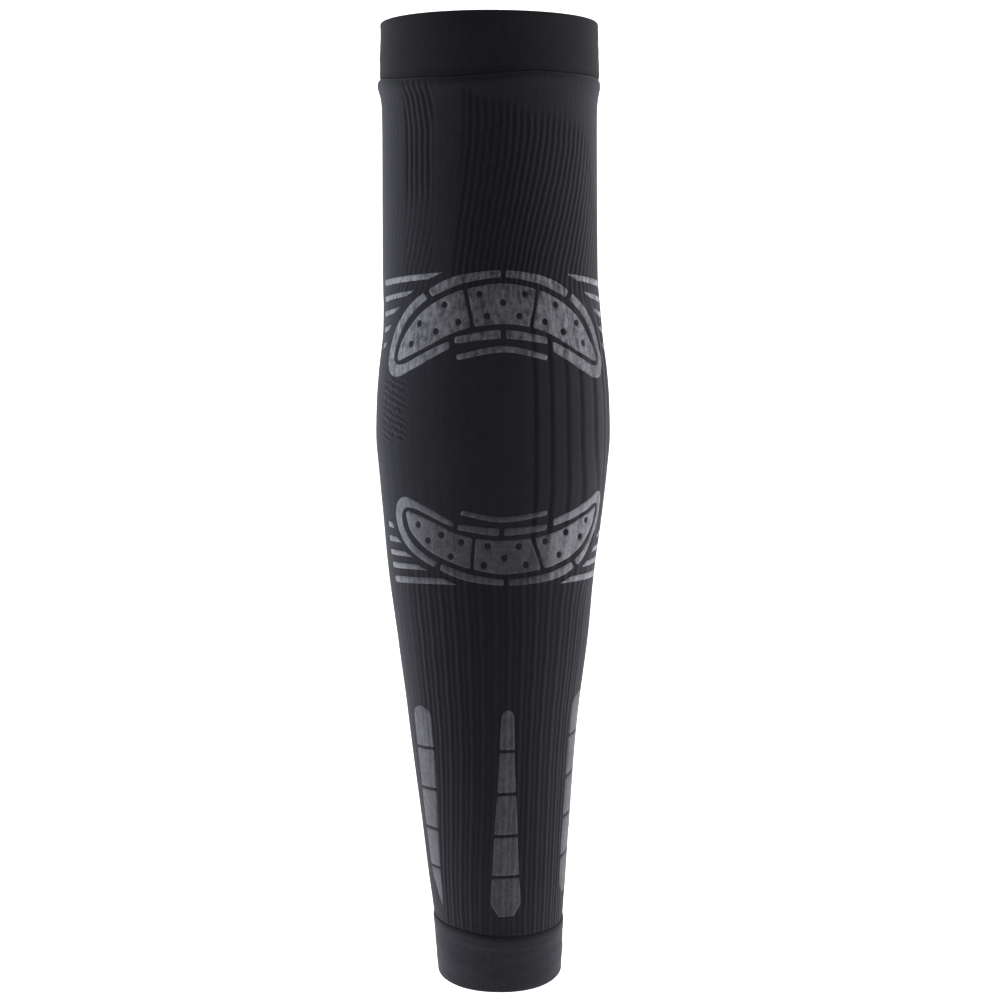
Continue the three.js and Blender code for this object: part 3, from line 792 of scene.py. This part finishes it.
def in_sleeve(angle, down):
    """The zones' angle and distance to the sleeve's own: the zones are turned, and tilted at the sides"""
    tilt = ZONE_TILT * np.clip(down / ZONE_TILT_FULL, 0, 1)
    return angle + ZONE_MIDDLE, down - tilt * np.sin(np.radians(angle)) ** 3


def flat(angle, down):
    """The sleeve opened out: points in metres"""
    return np.stack([angle * DEGREE, down], -1)


def closed_line(points):
    """An outline walked in even steps, with its corners worn round"""
    ring = np.vstack([points, points[:1]])
    along = np.concatenate([[0], np.cumsum(np.linalg.norm(np.diff(ring, axis=0), axis=1))])
    count = max(12, int(along[-1] / OUTLINE_STEP))
    places = np.arange(count) * along[-1] / count
    line = np.stack([np.interp(places, along, ring[:, axis]) for axis in (0, 1)], 1)
    for _ in range(CORNER_PASSES):
        line = (np.roll(line, 1, 0) + 2 * line + np.roll(line, -1, 0)) / 4
    return line


def within(points, line):
    """Which points lie inside an outline"""
    start, end = line, np.roll(line, -1, 0)
    x, y = points[:, 0][:, None], points[:, 1][:, None]
    crosses = (start[:, 1] > y) != (end[:, 1] > y)
    rise = np.where(end[:, 1] == start[:, 1], 1, end[:, 1] - start[:, 1])
    at = start[:, 0] + (y - start[:, 1]) / rise * (end[:, 0] - start[:, 0])
    return (crosses & (x < at)).sum(1) % 2 == 1


def distance(points, line):
    """How far points are from an outline"""
    start, step = line, np.roll(line, -1, 0) - line
    offset = points[:, None, :] - start
    t = np.clip((offset * step).sum(2) / (step**2).sum(1), 0, 1)
    return np.linalg.norm(offset - t[:, :, None] * step, axis=2).min(1)


def in_zone(points, lines):
    """Which points lie inside a zone's outline and outside its holes"""
    outline, *holes = lines
    inside = within(points, outline)
    for hole in holes:
        inside &= ~within(points, hole)
    return inside


def zone_plan(lines):
    """The points and triangles of a zone opened out flat, with a row of points along each step of the ribs"""
    low, high = lines[0].min(0), lines[0].max(0)
    rows = []
    for down in np.arange(low[1] + ZONE_ROW / 2, high[1], ZONE_ROW):
        first, last = (int(RIB_STEPS * rib_phase(side[0] / DEGREE, down)) for side in (low, high))
        angles = rib_angles(np.arange(first, last + 1) / RIB_STEPS, down)
        rows.append(flat(angles, np.full(len(angles), down)))
    inner = np.concatenate(rows) if rows else np.zeros((0, 2))
    keep = in_zone(inner, lines)
    for line in lines:
        keep &= distance(inner, line) > ZONE_CLEAR
    corners = np.concatenate([*lines, inner[keep]]) * 1000
    edges, first = [], 0
    for line in lines:
        count = len(line)
        edges += [(first + i, first + (i + 1) % count) for i in range(count)]
        first += count
    result = delaunay_2d_cdt([Vector(p) for p in corners], edges, [], 0, 1e-5, False)
    plan = np.array([tuple(p) for p in result[0]]) / 1000
    faces = np.array([tuple(face) for face in result[2]])
    faces = faces[in_zone(plan[faces].mean(1), lines)]
    used = np.unique(faces)
    renumber = np.full(len(plan), -1)
    renumber[used] = np.arange(len(used))
    plan, faces = plan[used], renumber[faces]
    a, b, c = plan[faces[:, 0]], plan[faces[:, 1]], plan[faces[:, 2]]
    turned = (b[:, 0] - a[:, 0]) * (c[:, 1] - a[:, 1]) - (b[:, 1] - a[:, 1]) * (c[:, 0] - a[:, 0]) > 0
    faces[turned] = faces[turned][:, ::-1]
    return plan, faces


def printed_zone(node, outline, holes, material, lighter=1):
    """A thin printed zone that follows the knit under it, from its outline and holes opened out flat"""
    lines = [closed_line(outline), *holes]
    plan, faces = zone_plan(lines)
    angle, down = plan[:, 0] / DEGREE, plan[:, 1]
    edge = np.min([distance(plan, line) for line in lines], axis=0)
    height = knit_height(angle, down) + ZONE_SEAT
    rise = ZONE_RISE * (0.35 + 0.65 * smooth(edge, -1e-6, ZONE_EDGE))
    top = on_sleeve(angle, down, height + rise)
    bottom = on_sleeve(angle, down, height)
    count = len(plan)
    steps = {(int(f[i]), int(f[(i + 1) % 3])) for f in faces for i in range(3)}
    border = sorted(step for step in steps if step[::-1] not in steps)
    sides = [(q, p, p + count, q + count) for p, q in border]
    all_faces = [*faces.tolist(), *(faces[:, ::-1] + count).tolist(), *sides]
    knit = np.stack([angle / RIB_PITCH, down / KNIT_PITCH], 1)
    knit = np.concatenate([knit, knit])
    corner_knit = knit[np.concatenate([np.ravel(face) for face in all_faces])]
    painted_print_light, fleck = print_marks(angle, down)
    # The zone takes the knit's painted shade and the print's painted light
    marks = {"painted_shade": painted_knit_shade(angle, down), "print": painted_print_light * lighter, "fleck": fleck}
    marks = {mark: np.tile(values, 2) for mark, values in marks.items()}
    points = np.concatenate([top, bottom])
    return make_piece("printed_" + node, points, all_faces, corner_knit, marks, material, [node])


def crescent_outline(crescent, outer, inner, start, end):
    """The outline between two curves of a crescent, each from its own start to its own end"""
    t = np.linspace(0, 1, 60)
    sides = []
    for curve, index in ((outer, 0), (inner, 1)):
        around = start[index] + (end[index] - start[index]) * t
        sides.append(np.stack([around, follow(curve, abs(around))], 1))
    line = np.concatenate([sides[0], sides[1][::-1]])
    return flat(*in_sleeve(*on_crescent(crescent, line[:, 0], line[:, 1])))


def through(rows, t):
    """A smooth curve through a row of points, at shares t of its steps"""
    points = np.array(rows, float)
    last = len(points) - 1
    i = np.clip((t * last).astype(int), 0, last - 1)
    s = (t * last - i)[:, None]
    before, here = points[np.maximum(i - 1, 0)], points[i]
    after, beyond = points[i + 1], points[np.minimum(i + 2, last)]
    v0, v1 = (after - before) / 2, (beyond - here) / 2
    return (
        (2 * here - 2 * after + v0 + v1) * s**3
        + (-3 * here + 3 * after - 2 * v0 - v1) * s**2
        + v0 * s
        + here
    )


def dot_lines(crescent, dots, sign):
    """The outlines of a panel's dots"""
    turns = np.linspace(0, 2 * math.pi, DOT_SIDES, endpoint=False)
    lines = []
    for around, toward in dots:
        angle, down = in_sleeve(*on_crescent(crescent, np.float64(sign * around), np.float64(toward)))
        half_width = arm_at(down)[0]
        angles = angle + np.degrees(DOT_WIDTH / 2 * np.cos(turns) / half_width)
        lines.append(flat(angles, down + DOT_WIDTH / 2 * np.sin(turns)))
    return lines


def crescent_zones(name, crescent, material):
    """All the printed zones of one crescent"""
    shares = np.array(PANEL_SPLIT)
    near, far = shares - SPLIT_GAP / 2, shares + SPLIT_GAP / 2
    middle = crescent_outline(crescent, PANEL_OUTER, PANEL_INNER, -near, near)
    printed_zone(f"{name}_panel_middle", middle, dot_lines(crescent, crescent["middle_dots"], 1), material)
    strip_end = np.array([STRIP_OUTER[-1][0], STRIP_INNER[-1][0]])
    left_end, right_end = (strip_end + crescent["ends"][side] for side in SIDES)
    strip = crescent_outline(crescent, STRIP_OUTER, STRIP_INNER, -left_end, right_end)
    printed_zone(f"{name}_strip", strip, [], material)
    for side, sign in SIDES.items():
        gap = np.array([MIDDLE_GAP, MIDDLE_GAP])
        bands = {
            "panel": (PANEL_OUTER, PANEL_INNER, far, dot_lines(crescent, crescent["dots"][side], sign)),
            "rim": (RIM_OUTER, RIM_INNER, gap, []),
            "band": (BAND_OUTER, BAND_INNER, gap, []),
        }
        for kind, (outer, inner, start, dots) in bands.items():
            moved = crescent["ends"][side] if kind == "band" else 0
            end = np.array([outer[-1][0], inner[-1][0]]) + moved
            outline = crescent_outline(crescent, outer, inner, sign * start, sign * end)
            printed_zone(f"{name}_{kind}_{side}", outline, dots, material)
        t = np.linspace(0, 1, 90)
        outer = through(LOOP_OUTER, t)
        outer[:, 1] -= crescent["slim"][side] * smooth(t, 0.6, 0.75)
        inner = through(LOOP_INNER, t)
        for edge in (outer, inner):
            edge[:, 0] += crescent["ends"][side] * smooth(t, 0.75, 1)
        loop = np.concatenate([outer, inner[::-1]])
        line = flat(*in_sleeve(*on_crescent(crescent, sign * loop[:, 0], loop[:, 1])))
        printed_zone(f"{name}_loop_{side}", line, [], material)
        for k, (point, start_toward, end_toward) in enumerate(STRIPES):
            half = STRIPE_WIDTH / 2 / abs(crescent["height"]) * (FIRST_STRIPE if k == 0 else 1)
            start = STRIPE_STARTS[name][side][k]
            edges = []
            for w in (0, 1):
                t = np.linspace(0, 1, 20)
                around = start + w * point + (STRIPE_END - start - w * point) * t
                toward = start_toward + (end_toward - start_toward) * t + half * (2 * w - 1)
                edges.append(np.stack([around, toward], 1))
            stripe = np.concatenate([edges[0], edges[1][::-1]])
            line = flat(*in_sleeve(*on_crescent(crescent, sign * stripe[:, 0], stripe[:, 1])))
            printed_zone(f"{name}_stripe_{side}_{k + 1}", line, [], material, STRIPE_TONES[name][side])


def bars(material):
    """A row of printed bars down the middle of the forearm and one down each side"""
    end = FORE_LENGTH - WRIST_CUFF_HEIGHT - BAR_CUFF_CLEARANCE
    start = end - BAR_PITCH * BAR_COUNT
    for side, (closer, first_closer, moved) in BAR_ROWS.items():
        for k in range(BAR_COUNT):
            first = start + k * BAR_PITCH + (BAR_GAP / 2 if k > 0 else 0)
            last = start + (k + 1) * BAR_PITCH - (BAR_GAP / 2 if k < BAR_COUNT - 1 else 0)
            down = np.linspace(first, last, 40)
            share = (down - start) / (end - start)
            drift, half, *edges = (follow(BARS, share, i) for i in range(1, 7))
            left = (-edges[1], -edges[0])
            low, high = {"left": left, "middle": (-half, half), "right": edges[2:]}[side]
            angles = np.concatenate([low + drift, (high + drift)[::-1]])
            first_gap = start + BAR_PITCH
            down = first_gap + (down - first_gap) * (first_closer if k == 0 else closer) + moved
            line = flat(*in_sleeve(angles, np.concatenate([down, down[::-1]])))
            printed_zone(f"bar_{side}_{k + 1}", line, [], material)


class Number:
    """A socket that Python sums and products can be written with"""

    def __init__(self, finish, socket):
        self.finish = finish
        self.socket = socket

    def __add__(self, other):
        return self.finish.maths("ADD", self, other)

    def __sub__(self, other):
        return self.finish.maths("SUBTRACT", self, other)

    def __rsub__(self, other):
        return self.finish.maths("SUBTRACT", other, self)

    def __mul__(self, other):
        return self.finish.maths("MULTIPLY", self, other)

    __radd__ = __add__
    __rmul__ = __mul__

    def fraction(self):
        return self.finish.maths("FRACT", self)

    def size(self):
        return self.finish.maths("ABSOLUTE", self)

    def wave(self):
        """From -1 to 1 and back, once for each whole number"""
        return self.finish.maths("SINE", self * (2 * math.pi))

    def between(self, low, high):
        """0 below low, 1 above high, and level at both"""
        settings = {"interpolation_type": "SMOOTHSTEP"}
        values = {"Value": self, "From Min": low, "From Max": high}
        return self.finish.node("ShaderNodeMapRange", settings, values, "Result")

    def span(self, edges):
        """1 from the second edge to the third, and 0 before the first and after the last"""
        start, full, last, end = edges
        return self.between(start, full) * (1 - self.between(last, end))


class Finish:
    """One material, and the one way to add a node to it"""

    def __init__(self, name):
        self.material = bpy.data.materials.new(name)
        self.material.use_nodes = True
        self.tree = self.material.node_tree
        self.tree.nodes.clear()
        self.place = self.node("ShaderNodeTexCoord", {}, {}, "Object")

    def node(self, kind, settings, values, output):
        """A node with its settings made first, then the values or links of its sockets"""
        node = self.tree.nodes.new(kind)
        for name, setting in settings.items():
            setattr(node, name, setting)
        for key, value in values.items():
            if isinstance(value, Number):
                self.tree.links.new(value.socket, node.inputs[key])
            else:
                node.inputs[key].default_value = value
        return Number(self, node.outputs[output]) if output is not None else node

    def maths(self, operation, *values):
        return self.node("ShaderNodeMath", {"operation": operation}, dict(enumerate(values)), 0)

    def knit(self):
        """The knit's own coordinates: ribs counted round the arm, and as many widths along it"""
        knit = self.node("ShaderNodeUVMap", {"uv_map": "knit"}, {}, "UV")
        return [self.node("ShaderNodeSeparateXYZ", {}, {"Vector": knit}, axis) for axis in "XY"]

    def mark(self, name):
        """A value kept at the mesh's points"""
        return self.node("ShaderNodeAttribute", {"attribute_name": name}, {}, "Fac")

    def scaled(self, color, share):
        """A colour made lighter or darker"""
        return self.node("ShaderNodeVectorMath", {"operation": "SCALE"}, {"Vector": color, "Scale": share}, 0)

    def mix(self, share, first, second):
        """Two colours mixed"""
        return self.node("ShaderNodeMix", {"data_type": "RGBA"}, {0: share, 6: first, 7: second}, 2)

    def point(self, x, y):
        return self.node("ShaderNodeCombineXYZ", {}, {"X": x, "Y": y}, "Vector")

    def noise(self, vector, scale, detail=2.0):
        """Cloudy noise from about 0 to 1"""
        values = {"Vector": vector, "Scale": scale, "Detail": detail}
        return self.node("ShaderNodeTexNoise", {}, values, "Fac")

    def stitches(self, ribs, along, wales, courses):
        """Rows of small V-shaped stitches, so many to a rib's pitch round the arm and along it"""
        wale = (ribs * wales).fraction() - 0.5
        course = along * courses + wale.size() * 1.1
        return course.wave() * 0.5 + (wale * wale) * -3.0

    def bump(self, height, strength, distance):
        values = {"Height": height, "Strength": strength, "Distance": distance}
        return self.node("ShaderNodeBump", {}, values, "Normal")

    def cloth(self, color, roughness, normal, **constants):
        """Ends the material with a soft cloth surface"""
        values = {"Base Color": color, "Roughness": roughness, "Normal": normal, **constants}
        surface = self.node("ShaderNodeBsdfPrincipled", {}, values, 0)
        self.node("ShaderNodeOutputMaterial", {}, {"Surface": surface}, None)
        return self.material


def black_knit():
    """Near-black ribbed knit with painted shade in its grooves and a painted shadow along the seams, and a
    hatched patch at the left of the elbow
    """
    finish = Finish("black_knit")
    ribs, along = finish.knit()
    fine = finish.noise(finish.place, 900, 3)
    cloud = finish.noise(finish.place, 45, 2)
    streak = finish.noise(finish.point(ribs * 4, along * 0.5), 1.6, 2)
    patch = ribs.span(HATCH_RIBS) * along.span(HATCH_ALONG)
    broken = finish.noise(finish.point(ribs * 1.5, along * 1.2), 1.2, 2)
    hatch = (along * 2.05 - ribs * 0.72 + broken * 1.1).wave() * patch * broken.between(0.32, 0.55)
    # The mark read here is painted shade: it darkens the grooves and paints a shadow along the seams
    shade = finish.mark("painted_shade") * -0.62 + (fine - 0.5) * 0.6 + (cloud - 0.5) * 0.45 + (streak - 0.5) * 0.5
    shade = shade + hatch * 1.3 + 0.75
    color = finish.mix(shade.between(0, 1.2), *KNIT_COLORS)
    height = finish.stitches(ribs, along, 7, 6) * 0.5 + fine * 0.6 + hatch * 4.0
    normal = finish.bump(height, 0.55, 0.00012)
    return finish.cloth(color, 0.82, normal, **BLACK_CLOTH, **{"Sheen Weight": 0.22})


def cuff_knit(name, lightness, sheen):
    """Smoother, finely ribbed black knit of a cuff; lightness paints the whole copy lighter or darker as
    painted shade
    """
    finish = Finish(name)
    ribs, along = finish.knit()
    fine = finish.noise(finish.place, 1000, 3)
    cloud = finish.noise(finish.place, 40, 2)
    streak = finish.noise(finish.point(ribs * 9, along * 0.3), 1.5, 1)
    # The mark read here is painted shade: a shadow along the seam, lighter paint on the fold and an offset
    # for the whole cuff
    shade = finish.mark("painted_shade") * -0.62 + (fine - 0.5) * 0.5 + (cloud - 0.5) * 0.4 + (streak - 0.5) * 0.5
    dark, light = CUFF_COLORS
    light = (*[lightness * part for part in light[:3]], 1)
    color = finish.mix((shade + 0.5).between(0, 1.2), dark, light)
    wales = (ribs * 6).wave() * 0.3
    height = finish.stitches(ribs, along, 12, 9) * 0.4 + wales + fine * 0.5
    normal = finish.bump(height, 0.45, 0.0001)
    return finish.cloth(color, 0.8, normal, **BLACK_CLOTH, **{"Sheen Weight": sheen})


def grey_print():
    """Grey print on the knit: flecked and streaked along the wales, with painted shade in the grooves, and
    scaled by its painted light
    """
    finish = Finish("grey_zone")
    ribs, along = finish.knit()
    fine = finish.noise(finish.place, 1100, 3)
    mottle = finish.noise(finish.place, 380, 3)
    cloud = finish.noise(finish.place, 60, 2)
    streak = finish.noise(finish.point(ribs * 3.6, along * 0.9), 1.1, 3)
    dark = finish.noise(finish.point(ribs * 4.5, along * 1.3), 1.1, 2).between(0.55, 0.75)
    flecks = ((mottle - 0.5) * 1.1 + (streak - 0.5) * 1.4 + dark * -0.25) * finish.mark("fleck")
    # The mark read here is painted shade: it darkens the print in the grooves and along the seams
    shade = flecks + finish.mark("painted_shade") * -0.22 + (fine - 0.5) * 0.5 + (cloud - 0.5) * 0.5 + 0.6
    color = finish.mix(shade.between(0, 1), *PRINT_COLORS)
    # Painted light: the print mark makes the print lighter towards the sides
    color = finish.scaled(color, finish.mark("print"))
    height = finish.stitches(ribs, along, 7, 6) * 0.45 + mottle * 0.5 + streak * 0.6
    normal = finish.bump(height, 0.5, 0.00012)
    constants = {"Specular IOR Level": 0.3, "Sheen Weight": 0.2, "Sheen Roughness": 0.5}
    return finish.cloth(color, 0.78, normal, **constants)


def studio():
    """Pale floor that sweeps up into a backdrop, soft lights and the photograph's camera"""
    scene = bpy.context.scene
    scene.view_settings.view_transform = "Standard"
    world = bpy.data.worlds.new("studio")
    world.use_nodes = True
    background = world.node_tree.nodes["Background"]
    background.inputs["Color"].default_value = (0.97, 0.98, 1.0, 1)
    background.inputs["Strength"].default_value = 0.2
    scene.world = world

    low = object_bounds()[0][2] - FLOOR_DROP
    profile = [(FLOOR_FRONT, low)]
    for turn in np.radians(np.linspace(0, 90, 19)):
        profile.append((FLOOR_BACK + FLOOR_CURVE * math.sin(turn), low + FLOOR_CURVE * (1 - math.cos(turn))))
    profile.append((FLOOR_BACK + FLOOR_CURVE, low + BACKDROP_HEIGHT))
    points = [(x, y, z) for x in (-FLOOR_HALF_WIDTH, FLOOR_HALF_WIDTH) for y, z in profile]
    count = len(profile)
    faces = [(i, i + 1, i + 1 + count, i + count) for i in range(count - 1)]
    mesh = bpy.data.meshes.new("sweep")
    mesh.from_pydata(points, [], faces)
    mesh.shade_smooth()
    paint = Finish("white_sweep")
    grain = paint.noise(paint.place, 3, 2)
    color = paint.mix(grain, (0.84, 0.84, 0.84, 1), (0.88, 0.88, 0.88, 1))
    normal = paint.bump(grain, 0.02, 0.001)
    beyond = paint.node("ShaderNodeSeparateXYZ", {}, {"Vector": paint.place}, "Y").between(-0.3, 0.4)
    white = paint.mix(beyond, (0.08, 0.08, 0.08, 1), (1, 1, 1, 1))
    glow = {"Emission Color": white, "Emission Strength": 1.0}
    mesh.materials.append(paint.cloth(color, 0.9, normal, **glow))
    sweep = bpy.data.objects.new("sweep", mesh)
    scene.collection.objects.link(sweep)
    sweep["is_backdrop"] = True

    for name, place, width, height, power, color in LAMPS:
        light = bpy.data.lights.new(name, "AREA")
        light.shape = "RECTANGLE"
        light.size = width
        light.size_y = height
        light.energy = power
        light.color = color
        lamp = bpy.data.objects.new(name, light)
        lamp.location = place
        lamp.rotation_euler = (Vector(LAMPS_LOOK_AT) - Vector(place)).to_track_quat("-Z", "Y").to_euler()
        scene.collection.objects.link(lamp)

    camera = bpy.data.objects.new("camera", bpy.data.cameras.new("camera"))
    camera.location = CAMERA_PLACE
    camera.rotation_euler = (math.pi / 2, 0, 0)
    camera.data.lens = CAMERA_LENS
    scene.collection.objects.link(camera)
    scene.camera = camera


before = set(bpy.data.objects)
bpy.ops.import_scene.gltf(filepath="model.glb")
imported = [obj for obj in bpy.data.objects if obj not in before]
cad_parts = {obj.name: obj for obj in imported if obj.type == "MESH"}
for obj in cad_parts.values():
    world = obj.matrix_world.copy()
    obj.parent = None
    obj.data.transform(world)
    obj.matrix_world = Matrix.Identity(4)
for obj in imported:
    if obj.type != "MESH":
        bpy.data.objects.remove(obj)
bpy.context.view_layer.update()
studio()

knit = black_knit()
# Painted shade: the upper cuff's copy is painted darker and given less sheen than the wrist cuff's, as less
# light reaches it
upper_knit = cuff_knit("upper_cuff_knit", 0.9, 0.06)
wrist_knit = cuff_knit("wrist_cuff_knit", 1, 0.25)
grey = grey_print()

body = knit_body(knit)
upper_ends = (-UPPER_LENGTH, BODY_TOP - SEAM_GAP)
wrist_ends = (FORE_LENGTH, BODY_END + SEAM_GAP)
# Painted shade and light: 0.12 paints the upper cuff darker and -0.15 paints the wrist cuff lighter
cuff("upper_band", "upper_cuff", upper_ends, UPPER_FOLD, UPPER_FOLD_SHOWN, UPPER_RIM, 0.12, upper_knit)
cuff("wrist_band", "wrist_cuff", wrist_ends, WRIST_FOLD, WRIST_FOLD_SHOWN, WRIST_RIM, -0.15, wrist_knit)
for name, crescent in CRESCENTS.items():
    crescent_zones(name, crescent, grey)
bars(grey)
